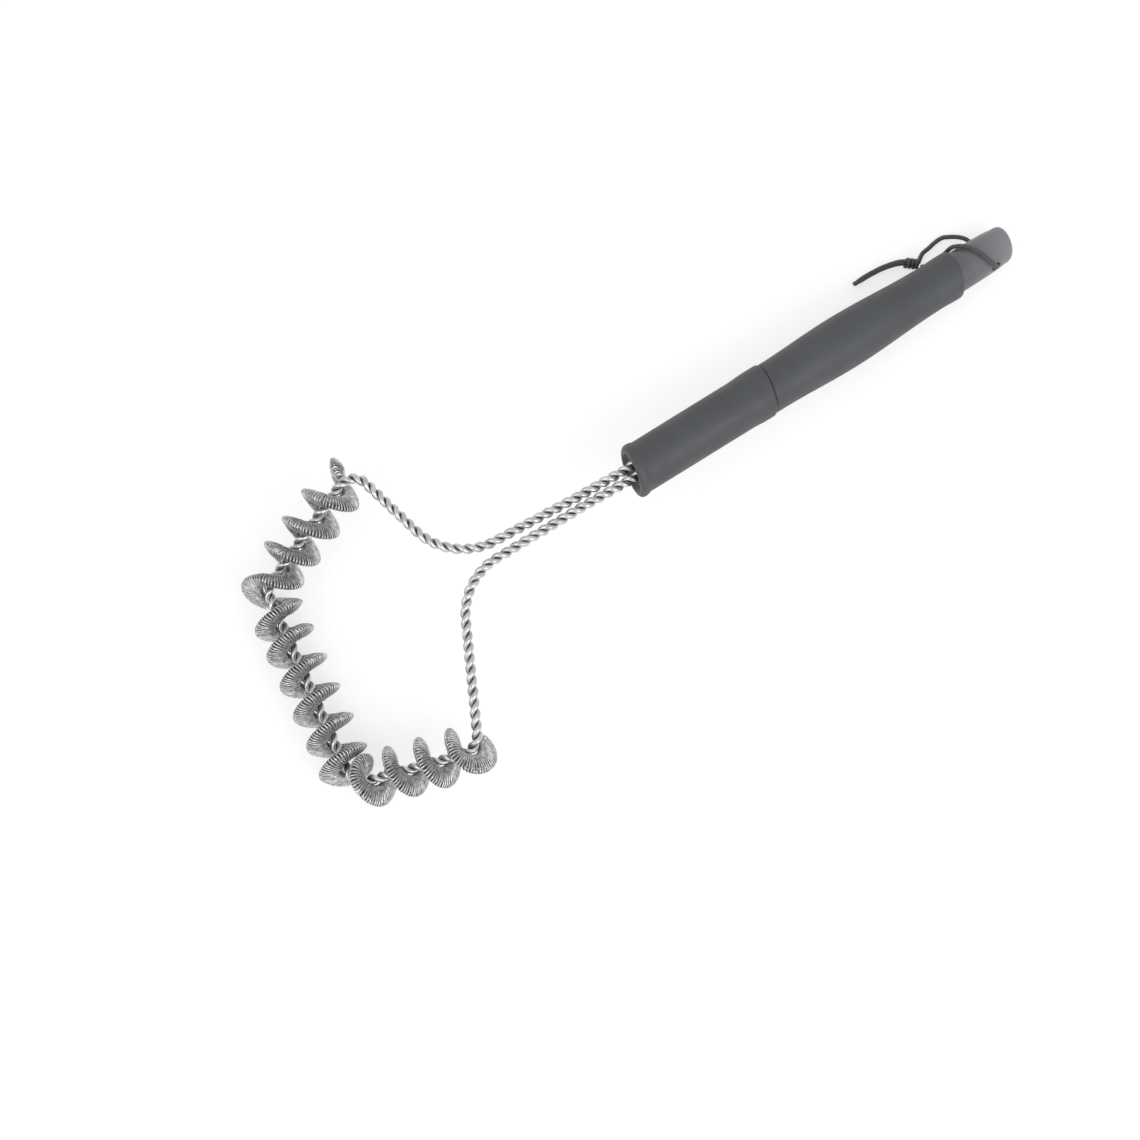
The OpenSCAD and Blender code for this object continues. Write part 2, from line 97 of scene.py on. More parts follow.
# handle: lengths from its front face, slant of the rings, diameters, front face, rounded end
HANDLE, RING1, CAP_LEN, SLANT = 222.4, 77.5, 33.1, 10.0
FRONT_D, GRIP_D, CAP_D, CORE_D, FLARE = 24.3, 26.5, 19.6, 17.0, 0.35
LIP_D, LIP_LEN, DISH_D, DISH_DEEP, MOUTH_H, TIP_R = 25.4, 5.6, 19.0, 2.4, 6.6, 6.5
# cord and its hole
CORD_D, HOLE_D, HOLE_BACK, HOLE_TURN, CLEAR = 2.2, 4.6, 14.0, 20.0, 0.3

# ---------------------------------------------------------------- wire path
HEAD_UP = V(-sind(BEND), 0, cosd(BEND))


def head_pt(x, y):
    u = x + LEAN * y
    return V(u * cosd(BEND), y + HEAD_SET, u * sind(BEND))


BP, AP = head_pt(-SHOULDER_REACH, SHOULDER_HALF), head_pt(-FRONT_REACH, FRONT_HALF)
AM, BM = head_pt(-FRONT_REACH, -FRONT_HALF), head_pt(-SHOULDER_REACH, -SHOULDER_HALF)


def run(side):
    """Corners of one run of the shaft, from the handle to the neck."""
    m = NECK_SET * PAIR_LEN / SHAFT
    return [V(SHAFT + TAIL_IN, side * GAP_BACK / 2, 0), V(SHAFT, side * GAP_BACK / 2, 0),
            V(SHAFT - PAIR_LEN, m + side * GAP_BACK / 2, 0), V(0, NECK_SET + side * GAP_NECK / 2, 0)]


VERTS = run(1) + [BP, AP, AM, BM] + run(-1)[::-1]
RADS = [0, SHAFT_R, SHAFT_R, NECK_R, CORNER_R, CORNER_R, CORNER_R, CORNER_R,
        NECK_R, SHAFT_R, SHAFT_R, 0]
NB = len(VERTS) - 2


def bend(a, b, c, r):
    """Start, end, centre, two axes, radius and sweep of the bend at corner b."""
    u, w = unit(a - b), unit(c - b)
    g = math.acos(float(u @ w))
    d = r / math.tan(g / 2)
    o = b + unit(u + w) * r / math.sin(g / 2)
    p, q = b + u * d, b + w * d
    e1 = unit(p - o)
    e2 = unit(np.cross(np.cross(e1, q - o), e1))
    return p, q, o, e1, e2, r, math.pi - g


BENDS = [bend(VERTS[i - 1], VERTS[i], VERTS[i + 1], RADS[i]) for i in range(1, NB + 1)]
STRETCH = []
for i in range(2 * NB + 1):
    if i % 2 == 0:
        a = VERTS[0] if i == 0 else BENDS[i // 2 - 1][1]
        b = VERTS[-1] if i == 2 * NB else BENDS[i // 2][0]
        STRETCH.append((np.linalg.norm(b - a), a, unit(b - a)))
    else:
        k = BENDS[(i - 1) // 2]
        STRETCH.append((k[5] * k[6], k))


def total(n):
    return sum(s[0] for s in STRETCH[:n])


WIRE_LEN = total(2 * NB + 1)


def wire(s):
    """Point and direction of the stem at distance s from its first end."""
    i = 0
    while i < 2 * NB and s > STRETCH[i][0]:
        s -= STRETCH[i][0]
        i += 1
    t = STRETCH[i]
    if len(t) == 3:
        return t[1] + t[2] * s, t[2]
    k = t[1]
    g = s / k[5]
    out, on = math.cos(g), math.sin(g)
    return k[2] + k[5] * (k[3] * out + k[4] * on), k[4] * out - k[3] * on


# Distance along the wire to a point d past a corner of the loop, or d before it.
def past(corner, d):
    return total(2 * corner + 2) + d - np.linalg.norm(BENDS[corner][0] - VERTS[corner + 1])


def before(corner, d):
    return total(2 * corner + 1) - d + np.linalg.norm(BENDS[corner][0] - VERTS[corner + 1])


def axes(t):
    n1 = unit(np.cross(HEAD_UP, t))
    return n1, np.cross(t, n1)


STRAND_R = STRAND_D / 2
LAY_R = STRAND_R + CLEAR / 2
STEM_R = LAY_R + STRAND_R
ROPE_IN = STEM_R + CLEAR
ROPE_MID = (COIL_D / 2 + ROPE_IN) / 2
ROPE_HALF = (COIL_D / 2 - ROPE_IN) / 2
UP_SHOULDER, UP_CORNER, LO_CORNER = 3, 4, 5
ROPE = [
    (past(UP_SHOULDER, UP_START), -0.5),
    (past(UP_SHOULDER, UP_START + 2.5 * UP_PITCH), 2),
    (before(UP_CORNER, UP_LEAD), 3),
    (past(UP_CORNER, FR_START), 4),
    (past(UP_CORNER, FR_START + FR_STEP), 5),
    (past(UP_CORNER, FR_START + FR_STEP + 4 * FR_PITCH), 9),
    (total(2 * LO_CORNER + 1) + STRETCH[2 * LO_CORNER + 1][0] / 2, 10),
    (past(LO_CORNER, LO_START), 11),
    (past(LO_CORNER, LO_START + LO_TURNS * LO_PITCH), 11 + LO_TURNS),
]
LEAN_AT = [-0.5, 3, 4.5, 9, 10.5, 14]
LEAN_BY = [-UP_LEAN, -UP_LEAN, FR_LEAN, FR_LEAN, LO_LEAN, LO_LEAN]


def rope_axis(s, turns):
    """Middle of the rope, and the direction outward from the stem."""
    p, t = wire(s)
    n1, n2 = axes(t)
    a = turns * 2 * math.pi
    r = n1 * math.cos(a) + n2 * math.sin(a)
    return p + r * ROPE_MID, r


def leant(pts, s, turns):
    """The turns of the rope lean along the wire, more the higher above it."""
    p, t = wire(s)
    n2 = axes(t)[1]
    k = math.tan(math.radians(float(np.interp(turns, LEAN_AT, LEAN_BY))))
    return pts - np.outer(np.atleast_2d(pts - p) @ n2, t).reshape(np.shape(pts)) * k


# ---------------------------------------------------------------- resting place, as in the source
RING2 = HANDLE - CAP_LEN
TAN = math.tan(math.radians(SLANT))
front_r, grip_r, cap_r = FRONT_D / 2, GRIP_D / 2, CAP_D / 2
rim1_r, neck1_r = front_r + FLARE + 0.15, front_r - 0.2
rim2_r, waist_r = front_r - 0.55, front_r - 0.85
REST_BACK, CAP_WORN = 9, 0.5  # the cap rests this far from its end, where it is this much thinner
rest_pt = V(SHAFT + HANDLE - REST_BACK, 0, 0)
q1, q2, need = AM - AP, rest_pt - AP, cap_r - CAP_WORN - COIL_D / 2
det = q1[0] * q2[1] - q1[1] * q2[0]
FN = unit(V((-q1[2] * q2[1] - q1[1] * (need - q2[2])) / det,
            (q1[0] * (need - q2[2]) + q1[2] * q2[0]) / det, 1))
TILT, ROLL = -math.asin(FN[0]), math.atan2(FN[1], FN[2])
PITCHED = np.array([[math.cos(TILT), 0, math.sin(TILT)], [0, 1, 0],
                    [-math.sin(TILT), 0, math.cos(TILT)]])
ROLLED = np.array([[1, 0, 0], [0, math.cos(ROLL), -math.sin(ROLL)],
                   [0, math.sin(ROLL), math.cos(ROLL)]])
REST = PITCHED @ ROLLED
# once the brush is turned to rest: the middle of its box, and the level of the table
OFF = V(106.0793, 1.1083, -40.9591)


def place(pts):
    """Brush directions in mm to the row frame in metres."""
    return (np.asarray(pts, float).reshape(-1, 3) @ REST.T - OFF) / 1000


def table_z(x, y):
    """Height of the table under a point, in the brush's own directions."""
    return (OFF[2] - FN[0] * x - FN[1] * y) / FN[2]


# ---------------------------------------------------------------- mesh helpers
def add_mesh(name, verts, faces, mat):
    """A smooth-shaded piece of the brush."""
    me = bpy.data.meshes.new(name)
    me.from_pydata([tuple(v) for v in verts], [], faces)
    me.validate()
    me.polygons.foreach_set("use_smooth", [True] * len(me.polygons))
    me.materials.append(mat)
    ob = bpy.data.objects.new(name, me)
    bpy.context.scene.collection.objects.link(ob)
    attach(ob, "root")
    return ob


def tube_faces(rings, n, base=0):
    """Faces of a closed tube of rings with n points each."""
    i = np.arange(rings - 1)[:, None]
    j = np.arange(n)[None, :]
    a, b = i * n + j, i * n + (j + 1) % n
    f = np.stack([a, b, b + n, a + n], -1).reshape(-1, 4) + base
    out = [tuple(map(int, q)) for q in f]
    out.append(tuple(range(base + n - 1, base - 1, -1)))
    out.append(tuple(range(base + (rings - 1) * n, base + rings * n)))
    return out


def circle(n):
    return np.arange(n) * 2 * math.pi / n


def sweep(line, radius, n):
    """Round-ended tube along a line of points, carried without twist."""
    line = np.asarray(line, float)
    d = np.gradient(line, axis=0)
    d /= np.linalg.norm(d, axis=1)[:, None]
    s = np.cross(d[0], V(0, 0.3, 1))
    pts = np.zeros((len(line), n, 3))
    g = circle(n)
    for i in range(len(line)):
        s = unit(s - d[i] * (s @ d[i]))
        b = np.cross(d[i], s)
        pts[i] = line[i] + radius * (np.outer(np.cos(g), s) + np.outer(np.sin(g), b))
    rounding = [(0.35, 0.42), (0.75, 0.28)]  # share of the radius left, share of it stood proud
    head = [line[0] + (pts[0] - line[0]) * k - d[0] * radius * w for k, w in rounding]
    tail = [line[-1] + (pts[-1] - line[-1]) * k + d[-1] * radius * w for k, w in rounding[::-1]]
    return np.concatenate([head, pts, tail])


# ---------------------------------------------------------------- materials
def new_mat(name):
    m = bpy.data.materials.new(name)
    m.use_nodes = True
    nt = m.node_tree
    return m, nt, nt.nodes["Principled BSDF"]


def link(nt, a, b):
    nt.links.new(a, b)


def noise(nt, scale, detail=4.0, rough=0.55, stretch=None):
    tc = nt.nodes.new("ShaderNodeTexCoord")
    src = tc.outputs["Object"]
    if stretch is not None:
        mp = nt.nodes.new("ShaderNodeMapping")
        mp.inputs["Scale"].default_value = stretch
        link(nt, src, mp.inputs["Vector"])
        src = mp.outputs["Vector"]
    n = nt.nodes.new("ShaderNodeTexNoise")
    n.inputs["Scale"].default_value = scale
    n.inputs["Detail"].default_value = detail
    n.inputs["Roughness"].default_value = rough
    link(nt, src, n.inputs["Vector"])
    return n.outputs["Fac"]


def ramp(nt, fac, stops):
    r = nt.nodes.new("ShaderNodeValToRGB")
    e = r.color_ramp.elements
    while len(e) < len(stops):
        e.new(0.5)
    for el, (pos, col) in zip(e, stops):
        el.position = pos
        el.color = (*col, 1) if len(col) == 3 else col
    link(nt, fac, r.inputs["Fac"])
    return r.outputs["Color"]


def grey(v):
    return (v, v, v)


def bump(nt, height, strength, dist, prev=None):
    b = nt.nodes.new("ShaderNodeBump")
    b.inputs["Strength"].default_value = strength
    b.inputs["Distance"].default_value = dist
    link(nt, height, b.inputs["Height"])
    if prev is not None:
        link(nt, prev, b.inputs["Normal"])
    return b.outputs["Normal"]


def painted_recess_shade(nt, color, dark, reach):
    """The colour with painted shade, darker where other metal lies close by."""
    ao = nt.nodes.new("ShaderNodeAmbientOcclusion")
    ao.samples = 8
    ao.inputs["Distance"].default_value = reach
    shade = ramp(nt, ao.outputs["AO"], [(0.15, grey(dark)), (0.75, grey(1))])
    mix = nt.nodes.new("ShaderNodeMix")
    mix.data_type = "RGBA"
    mix.blend_type = "MULTIPLY"
    mix.inputs["Factor"].default_value = 1.0
    link(nt, color, mix.inputs["A"])
    link(nt, shade, mix.inputs["B"])
    return mix.outputs["Result"]


def steel(name, low, high, tarnish, rough=(0.26, 0.46), scale=220.0, dark=1.0, reach=0.004):
    """Mottled steel with fine tarnish; dark below 1 paints shade on it near other metal within reach."""
    m, nt, b = new_mat(name)
    b.inputs["Metallic"].default_value = 1.0
    middle = tuple((p + q) / 2 for p, q in zip(low, high))
    base = ramp(nt, noise(nt, scale, 5, 0.6), [(0.32, low), (0.5, middle), (0.68, high)])
    spots = ramp(nt, noise(nt, scale * 4.5, 3, 0.7), [(0.60, grey(0)), (0.74, grey(1))])
    mix = nt.nodes.new("ShaderNodeMix")
    mix.data_type = "RGBA"
    link(nt, spots, mix.inputs["Factor"])
    link(nt, base, mix.inputs["A"])
    mix.inputs["B"].default_value = (*tarnish, 1)
    color = mix.outputs["Result"]
    # painted shade where other metal lies close by
    if dark < 1:
        color = painted_recess_shade(nt, color, dark, reach)
    link(nt, color, b.inputs["Base Color"])
    satin = ramp(nt, noise(nt, scale * 2.3, 4), [(0.3, grey(rough[0])), (0.7, grey(rough[1]))])
    link(nt, satin, b.inputs["Roughness"])
    n1 = bump(nt, noise(nt, 5200, 2, 0.6), 0.22, 0.00006)
    link(nt, bump(nt, noise(nt, 900, 3, 0.5), 0.18, 0.00012, n1), b.inputs["Normal"])
    return m


def plastic(name, low, high, rough, grain=0.32, pale=None):
    """pale is (from x, to x, colour): the plastic turns lighter toward its end."""
    m, nt, b = new_mat(name)
    b.inputs["Metallic"].default_value = 0.0
    b.inputs["IOR"].default_value = 1.46
    base = ramp(nt, noise(nt, 38, 6, 0.62), [(0.3, low), (0.7, high)])
    dust = ramp(nt, noise(nt, 1500, 2, 0.5), [(0.62, grey(0)), (0.86, grey(0.22))])
    mix = nt.nodes.new("ShaderNodeMix")
    mix.data_type = "RGBA"
    link(nt, dust, mix.inputs["Factor"])
    link(nt, base, mix.inputs["A"])
    mix.inputs["B"].default_value = (high[0] * 1.9, high[1] * 1.9, high[2] * 1.9, 1)
    color = mix.outputs["Result"]
    if pale is not None:
        at = nt.nodes.new("ShaderNodeSeparateXYZ")
        link(nt, nt.nodes.new("ShaderNodeTexCoord").outputs["Object"], at.inputs["Vector"])
        along = nt.nodes.new("ShaderNodeMapRange")
        along.inputs["From Min"].default_value = pale[0]
        along.inputs["From Max"].default_value = pale[1]
        link(nt, at.outputs["X"], along.inputs["Value"])
        fade = nt.nodes.new("ShaderNodeMix")
        fade.data_type = "RGBA"
        link(nt, along.outputs["Result"], fade.inputs["Factor"])
        link(nt, color, fade.inputs["A"])
        fade.inputs["B"].default_value = (*pale[2], 1)
        color = fade.outputs["Result"]
    link(nt, color, b.inputs["Base Color"])
    worn = [(0.3, grey(rough - 0.06)), (0.7, grey(rough + 0.07))]
    link(nt, ramp(nt, noise(nt, 120, 5, 0.6), worn), b.inputs["Roughness"])
    n1 = bump(nt, noise(nt, 2600, 2, 0.45), grain, 0.00008)
    streak = noise(nt, 210, 3, 0.5, stretch=(0.25, 2.2, 2.2))
    scuff = ramp(nt, streak, [(0.66, grey(0)), (0.71, grey(1)), (0.76, grey(0))])
    link(nt, bump(nt, scuff, 0.10, 0.00005, n1), b.inputs["Normal"])
    return m


# the stem wire and the spring wire get painted shade where other metal lies close by
M_WIRE = steel("drawn_wire", (0.50, 0.50, 0.49), (0.74, 0.74, 0.73), (0.28, 0.27, 0.26),
               dark=0.58, reach=0.005)
M_SPRING = steel("spring_wire", (0.32, 0.315, 0.31), (0.78, 0.775, 0.76), (0.15, 0.145, 0.14),
                 rough=(0.24, 0.5), scale=520.0, dark=0.48, reach=0.003)
M_PIN = steel("pressed_steel", (0.42, 0.42, 0.43), (0.58, 0.58, 0.6), (0.3, 0.3, 0.3))
M_GRIP = plastic("grip_plastic", (0.058, 0.062, 0.067), (0.071, 0.076, 0.082), 0.52)
M_CAP = plastic("cap_plastic", (0.098, 0.102, 0.112), (0.118, 0.122, 0.133), 0.40,
                pale=(0.180, 0.206, (0.205, 0.208, 0.22)))
M_CORE = plastic("core_plastic", (0.03, 0.03, 0.033), (0.042, 0.042, 0.046), 0.6)


def thong(name):
    m, nt, b = new_mat(name)
    dye = [(0.3, (0.032, 0.032, 0.034)), (0.7, (0.085, 0.084, 0.086))]
    link(nt, ramp(nt, noise(nt, 700, 5, 0.65), dye), b.inputs["Base Color"])
    link(nt, ramp(nt, noise(nt, 900, 3), [(0.3, grey(0.42)), (0.7, grey(0.62))]), b.inputs["Roughness"])
    link(nt, bump(nt, noise(nt, 2400, 3, 0.6), 0.45, 0.00012), b.inputs["Normal"])
    b.inputs["Sheen Weight"].default_value = 0.08
    return m


M_CORD = thong("waxed_thong")

# ---------------------------------------------------------------- hanging cord
cord_r = CORD_D / 2
hole_x = SHAFT + HANDLE - HOLE_BACK
CORD_SIDES = 16
over_r = cap_r + cord_r + CLEAR
hole_pt = V(hole_x, 0, 0)
rim_x = SHAFT + RING2 + rim2_r * TAN


def around(dx, rise, g):
    """Round the cap, dx from the hole, at angle g, clear of it by rise."""
    return V(hole_x + dx, (over_r + rise) * cosd(g), (over_r + rise) * sind(g))


def beside(dx, rise, g):
    """The same round the rim at the second ring line."""
    r = rim2_r + cord_r + CLEAR + rise
    return V(rim_x + dx, r * cosd(g), r * sind(g))


# The cord leaves the hole along exit_u and bends over toward exit_w.
exit_u = V(0, -cosd(HOLE_TURN), sind(HOLE_TURN))
exit_w = V(-0.5, 0.87 * sind(HOLE_TURN), 0.87 * cosd(HOLE_TURN))
exit_r, exit_in, exit_low = 5.6, 4.05, 1


def way_out(a):
    """At angle a along that bend."""
    over = exit_r * (1 - cosd(a)) - exit_low
    return hole_pt + exit_u * (cap_r - exit_in + exit_r * sind(a)) + exit_w * over


def on_table(x, y, h):
    return V(x, y, table_z(x, y) + h)


knot_d, knot_len = 2.5 * CORD_D, 8.0
KNOT_GAP, PAIR_GAP = 0.3, 0.15  # from the knot's end, and half of what parts two runs
kx, ky = SHAFT + RING2 - 10, rim2_r + 5.8
knot_pt, knot_dir = V(kx, ky, table_z(kx, ky) + knot_d / 2 + 0.1), unit(V(-6, 5, 0))
loop_route = [
    knot_pt - knot_dir * (knot_len / 2 + KNOT_GAP) + V(0, cord_r + PAIR_GAP, 0),
    on_table(hole_x - 21.2, rim2_r + 7.1, 1.5), on_table(hole_x - 16.8, rim2_r + 7.8, 1.3),
    on_table(hole_x - 12.4, rim2_r + 8.5, 1.5), on_table(hole_x - 8.5, rim2_r + 8.35, 1.9),
    around(-5.5, 8.4, -21.2), around(-3, 6.3, -21), around(-1.1, 3.7, -20.6),
    around(-0.2, 1, -HOLE_TURN), around(0, -2.2, -HOLE_TURN), around(0, -6, -HOLE_TURN),
    hole_pt - exit_w * 0.45,
    hole_pt + exit_u * (cap_r - 6.9) - exit_w * 0.9,
    way_out(0), way_out(30), way_out(60), way_out(90), way_out(118),
    around(-5, 0.7, 114), around(-6.1, 0.1, 100), around(-7.1, 0, 86), around(-8.1, 0, 72),
    around(-9.3, 0, 58), around(-10.6, 0, 45), around(-11.6, 0, 32), around(-12.3, 0.1, 18),
    around(-13, 0.2, 4), around(-14.1, 0.5, -10), around(-15.6, 1.1, -22),
    beside(-0.3, 0, -31), beside(-2.8, 0.7, -36.5), beside(-5.6, 1.6, -37.5),
    knot_pt - knot_dir * (knot_len / 2 + KNOT_GAP) - V(0, cord_r + PAIR_GAP, 0),
]


def tail_route(side, h, last):
    """side is 1 for the upper tail and -1 for the lower; h is its height over the table."""
    return [knot_pt + knot_dir * (knot_len / 2 + KNOT_GAP) + V(0, 0, side * (cord_r + PAIR_GAP)),
            on_table(kx - 7.6, ky + 4.7, h + 0.1), on_table(kx - 13.4, ky + 6, h),
            on_table(kx - 19.4, ky + 6.6, h), on_table(kx - 24.6, ky + 6.8, h),
            on_table(kx + last[0], ky + last[1], h)]


def soft_line(r, m):
    """A smooth curve through the points of a route, m steps to each stretch."""
    r = [2 * r[0] - r[1]] + list(r) + [2 * r[-1] - r[-2]]
    out = []
    for i in range(1, len(r) - 2):
        a, b, c, d = r[i - 1:i + 3]
        for k in range(m):
            u = k / m
            out.append(b + (c - a) * u / 2 + (2 * a - 5 * b + 4 * c - d) * u * u / 2
                       + (3 * b - a - 3 * c + d) * u ** 3 / 2)
    out.append(r[-2])
    return np.array(out)


def make_cord(name, line, replaces=(), **facts):
    """A round cord along a line."""
    rings = sweep(line, cord_r, CORD_SIDES)
    ob = add_mesh(name, place(rings), tube_faces(len(rings), CORD_SIDES), M_CORD)
    if replaces:
        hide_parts(*replaces)


def knot_piece():
    """A barrel of close wraps, pulled tight, in the CAD barrel's room."""
    turns, sides, wrap_r = 3.0, 14, cord_r * 0.86
    e1, e2 = V(-knot_dir[1], knot_dir[0], 0), V(0, 0, 1)
    rr = knot_d / 2 - wrap_r
    line = []
    for q in np.linspace(0, 1, 96):
        g = q * turns * 2 * math.pi
        along = (q - 0.5) * (knot_len - CORD_D) + 0.25 * math.sin(2 * g)
        line.append(knot_pt + knot_dir * along + rr * (e1 * math.cos(g) + e2 * math.sin(g)))
    wraps = sweep(line, wrap_r, sides)
    middle = [knot_pt + knot_dir * knot_len * k for k in np.linspace(-0.45, 0.45, 8)]
    core = sweep(middle, cord_r * 0.95, sides)
    verts = np.concatenate([place(wraps), place(core)])
    faces = tube_faces(len(wraps), sides) + tube_faces(len(core), sides, len(wraps) * sides)
    ob = add_mesh("cord_knot_wraps", verts, faces, M_CORD)
    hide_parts("cord_knot")
    return ob


loop = soft_line(loop_route, 10)
mid = int(np.argmin(np.linalg.norm(loop - hole_pt, axis=1)))
knot = knot_piece()
make_cord("cord_run_upper", loop[:mid + 1][::-1], ["hang_cord"], far_end="knot", lay="loose",
          with_pieces=[knot])
make_cord("cord_run_lower", loop[mid:], far_end="knot", lay="loose")
inside = V(0, 0, 0.6)  # the tails start one over the other in the knot
tail_a = soft_line([knot_pt + inside] + tail_route(1, 3 * cord_r + 0.3, (-29.2, 6.4)), 10)
tail_b = soft_line([knot_pt - inside] + tail_route(-1, cord_r + 0.1, (-28.6, 7.2)), 10)
make_cord("cord_tail_upper", tail_a, ["cord_tails"], far_end="bare", lay="loose")
make_cord("cord_tail_lower", tail_b, far_end="bare", lay="loose")

# ---------------------------------------------------------------- twisted stem wires
STRAND_STEP, STRAND_SIDES = 0.42, 12
STRAND_OUT, STRAND_MORE = 0.1, 0.08  # drawn nearly touching, inside the CAD's clearance


def strand_mesh(name, phase, node):
    """One strand, laid round the line of the stem."""
    n = int(WIRE_LEN / STRAND_STEP)
    pts = np.zeros((n, STRAND_SIDES, 3))
    g = circle(STRAND_SIDES)
    lay, sr = STRAND_R + STRAND_OUT, STRAND_R + STRAND_MORE
    for i, s in enumerate(np.linspace(0, WIRE_LEN, n)):
        p, t = wire(s)
        n1, n2 = axes(t)
        a = s / TWIST * 2 * math.pi + phase
        r = n1 * math.cos(a) + n2 * math.sin(a)
        q = n2 * math.cos(a) - n1 * math.sin(a)
        d = unit(t + q * lay * 2 * math.pi / TWIST)
        pts[i] = p + r * lay + sr * (np.outer(np.cos(g), r) + np.outer(np.sin(g), np.cross(d, r)))
    ob = add_mesh(name, place(pts), tube_faces(n, STRAND_SIDES), M_WIRE)
    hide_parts(node)


strand_mesh("stem_strand_a", 0.0, "stem_wire_a")
strand_mesh("stem_strand_b", math.pi, "stem_wire_b")

# ---------------------------------------------------------------- scrubbing spring
WIRE_R, FINE_PITCH = 0.43, 1.02
FINE_STEPS, FINE_SIDES = 16, 6
UNEVEN_TURN, UNEVEN_SIZE = 0.9, 0.05  # in radians, and as a share
INSIDE = 0.05  # the winding stays this far inside the CAD's rope
TURN_NO = np.arange(2000)
UNEVEN = np.random.default_rng(7).uniform(-1, 1, 2000)


def spring_mesh(name, table, node):
    """Fine wire wound round the rope's own axis, each turn a little different."""
    S, K = np.array(table).T
    s0, s1 = S[0], S[-1]
    # places along the stem, then length along the rope's axis
    ss = np.linspace(s0, s1, 1600)
    kk = np.interp(ss, S, K)
    ax = np.array([rope_axis(s, k)[0] for s, k in zip(ss, kk)])
    arc = np.concatenate([[0], np.cumsum(np.linalg.norm(np.diff(ax, axis=0), axis=1))])
    turns = round(arc[-1] / FINE_PITCH)
    m = turns * FINE_STEPS
    a = np.linspace(0, arc[-1], m + 1)
    s_at = np.interp(a, arc, ss)
    k_at = np.interp(s_at, S, K)
    ds = 0.05
    rh, th = ROPE_HALF - WIRE_R - INSIDE, ROPE_T / 2 - WIRE_R - INSIDE
    line = np.zeros((m + 1, 3))
    for i in range(m + 1):
        s, kt = s_at[i], k_at[i]
        c, r = rope_axis(s, kt)
        lo, hi = max(s - ds, s0), min(s + ds, s1)
        slope = (np.interp(hi, S, K) - np.interp(lo, S, K)) / (hi - lo)
        e = unit(np.cross(unit(rope_axis(s + ds, kt + slope * ds)[0] - c), r))
        g = a[i] / arc[-1] * turns * 2 * math.pi
        g += UNEVEN_TURN * float(np.interp(g / (2 * math.pi), TURN_NO, UNEVEN))
        w = 1 + UNEVEN_SIZE * float(np.interp(g / (2 * math.pi), TURN_NO, UNEVEN[::-1]))
        flank = e * th * w * math.sin(g) * (1 - FULLER * math.cos(g))
        line[i] = leant(c + r * rh * math.cos(g) + flank, s, kt)
    pts = sweep(line, WIRE_R, FINE_SIDES)
    ob = add_mesh(name, place(pts), tube_faces(len(pts), FINE_SIDES), M_SPRING)
    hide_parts(node)


spring_mesh("scrub_spring", ROPE, "scrub_coil")

# ---------------------------------------------------------------- handle
SIDES = 128
GAP = 0.1  # half of what is seen open at a ring line
SOFT_X, SOFT_R = 1.4, 0.8  # the soft edges beside it, along and across the handle
seat_r, SEAT = CORE_D / 2 + 0.25, 1.5  # the skins turn in to the core and end there
mouth_w = GAP_BACK + 2 * STEM_R + 1.8
dish_r = DISH_D / 2


def ease(u):
    """Smooth step from 0 to 1."""
    u = min(1.0, max(0.0, u))
    return (1 - math.cos(u * math.pi)) / 2


def lathe(name, stations, mat, hub=()):
    """stations are (x, radius, slant share): a share of 1 lies in a ring line's slanted plane."""
    g = circle(SIDES)
    rings = list(hub)
    for x, r, w in stations:
        y, z = r * np.cos(g), r * np.sin(g)
        rings.append(np.stack([SHAFT + x + w * TAN * y, y, z], -1))
    pts = np.concatenate(rings)
    return add_mesh(name, place(pts), tube_faces(len(rings), SIDES), mat)


def mouth_ring(depth, grow=0.0):
    """Outline of the wire opening, spread evenly by angle so that it joins the face's rings."""
    w, h = mouth_w + 2 * grow, MOUTH_H + 2 * grow
    out = []
    for g in circle(SIDES):
        cy, cz = math.cos(g), math.sin(g)
        half = (w - h) / 2
        lo, hi = 0.0, w
        for _ in range(40):
            t = (lo + hi) / 2
            y, z = abs(t * cy), abs(t * cz)
            inside = (z <= h / 2) if y <= half else ((y - half) ** 2 + z * z <= h * h / 4)
            lo, hi = (t, hi) if inside else (lo, t)
        out.append((SHAFT + depth, lo * cy, lo * cz))
    return np.array(out)


def front_stations():
    """The lip, the long barrel and the soft edge at the first ring line."""
    st = []
    edge, lip_r = 2.2, LIP_D / 2
    for k in range(1, 14):
        g = k * 90 / 13
        st.append((edge * (1 - cosd(g)), lip_r - edge * (1 - sind(g)), 1))
    st += [(LIP_LEN - 2.6, lip_r, 1), (LIP_LEN - 2, lip_r - 0.05, 1),
           (LIP_LEN - 1.4, lip_r - 0.16, 1), (LIP_LEN - 0.9, lip_r - 0.32, 1),
           (LIP_LEN - 0.4, front_r + 0.05, 1), (LIP_LEN, front_r - 0.06, 1),
           (LIP_LEN + 0.6, front_r - 0.1, 0.95)]
    x0, upright_by, flare_len = RING1 - 16, 24, 10
    for x in np.arange(9, x0, 4.0):
        st.append((x, front_r - 0.1 + 0.15 * (x / x0), 1 - ease(x / upright_by)))
    end = RING1 - GAP
    for k in range(0, 25):
        u = k / 24
        x = x0 + (end - SOFT_X - x0) * u
        r = front_r + 0.05 + (rim1_r - front_r - 0.05) * ease((x - x0) / flare_len)
        st.append((x, r, ease(u) ** 1.5))
    for g in range(10, 91, 10):
        st.append((end - SOFT_X + SOFT_X * sind(g), rim1_r - SOFT_R * (1 - cosd(g)), 1))
    return st + [(end, seat_r, 1), (end - SEAT, seat_r, 1)]


def face_ring(depth, r):
    """A circle of the front face, in its slant."""
    g = circle(SIDES)
    return np.stack([SHAFT + depth + TAN * r * np.cos(g), r * np.cos(g), r * np.sin(g)], -1)


def slant_mouth(depth, grow=0.0):
    """The outline of the opening, in the same slant."""
    ring = mouth_ring(depth, grow)
    return ring + np.stack([TAN * ring[:, 1], 0 * ring[:, 1], 0 * ring[:, 1]], -1)


